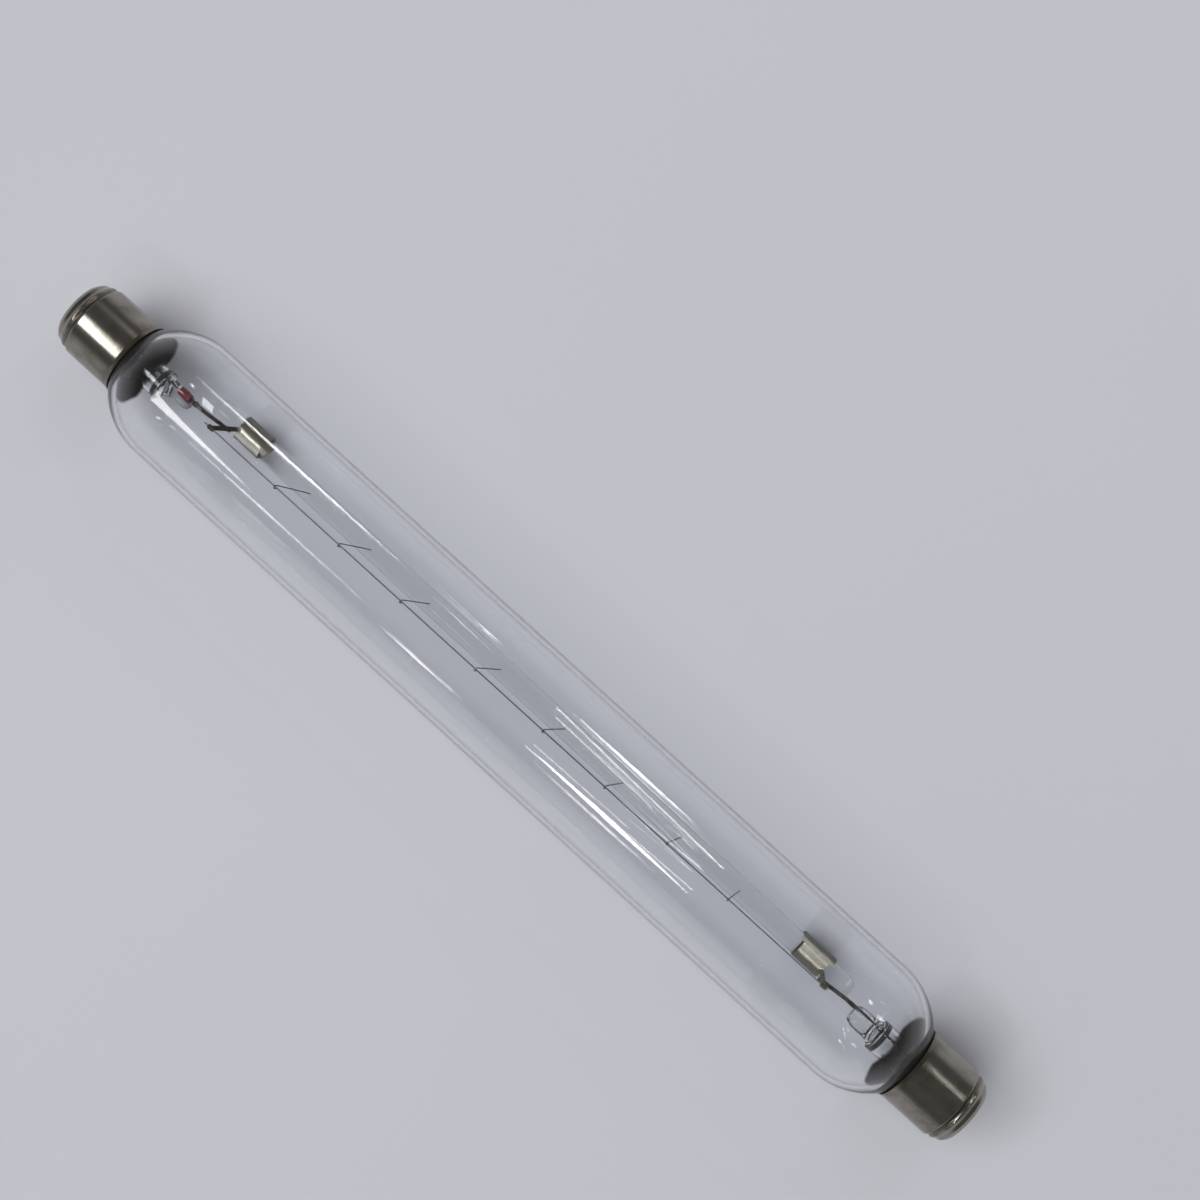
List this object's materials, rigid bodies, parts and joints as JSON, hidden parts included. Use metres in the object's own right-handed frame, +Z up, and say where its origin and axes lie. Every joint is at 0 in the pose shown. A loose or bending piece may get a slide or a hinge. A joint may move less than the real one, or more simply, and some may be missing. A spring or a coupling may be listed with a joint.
{
  "type": "linear tubular lamp",
  "caption": "Clear glass tubular filament lamp with rounded shoulders, a plated shell cap at each end and a coil held on wire hooks by a glass rod.",
  "frame": {"origin": "middle of the lamp, on the axis of the glass tube", "axes": "+X along the lamp towards the right cap, +Z up, away from the support rod"},
  "size_m": [0.221, 0.0254, 0.0254],
  "materials": {
    "bulb_glass": "clear gloss",
    "stem_glass": "clear gloss",
    "rod_glass": "clear gloss",
    "plated_shell": "bright nickel plate",
    "capping_cement": "matt brown",
    "seal_wire": "oxidised copper red",
    "copper_lead": "bare copper",
    "nickel_lead": "dull nickel",
    "nickel_sheet": "dull nickel",
    "solder": "dull solder",
    "support_wire": "dark wire",
    "tungsten_coil": "dark grey"
  },
  "bodies": {
    "root": {"glass_tube": "bulb_glass", "cap_left": "plated_shell", "cap_right": "plated_shell", "cement_left": "capping_cement", "cement_right": "capping_cement", "stem_left": "stem_glass", "stem_right": "stem_glass", "exhaust_tube": "stem_glass", "seal_wire_left": "seal_wire", "seal_wire_right": "seal_wire", "outer_lead_left": "copper_lead", "outer_lead_right": "copper_lead", "inner_lead_left": "nickel_lead", "inner_lead_right": "nickel_lead", "solder_contact_left": "solder", "solder_contact_right": "solder", "rod_sleeve_left": "nickel_sheet", "rod_sleeve_right": "nickel_sheet", "support_rod": "rod_glass", "filament": "tungsten_coil", "support_hook_1": "support_wire", "support_hook_2": "support_wire", "support_hook_3": "support_wire", "support_hook_4": "support_wire", "support_hook_5": "support_wire", "support_hook_6": "support_wire", "support_hook_7": "support_wire", "support_hook_8": "support_wire"}
  },
  "joints": []
}
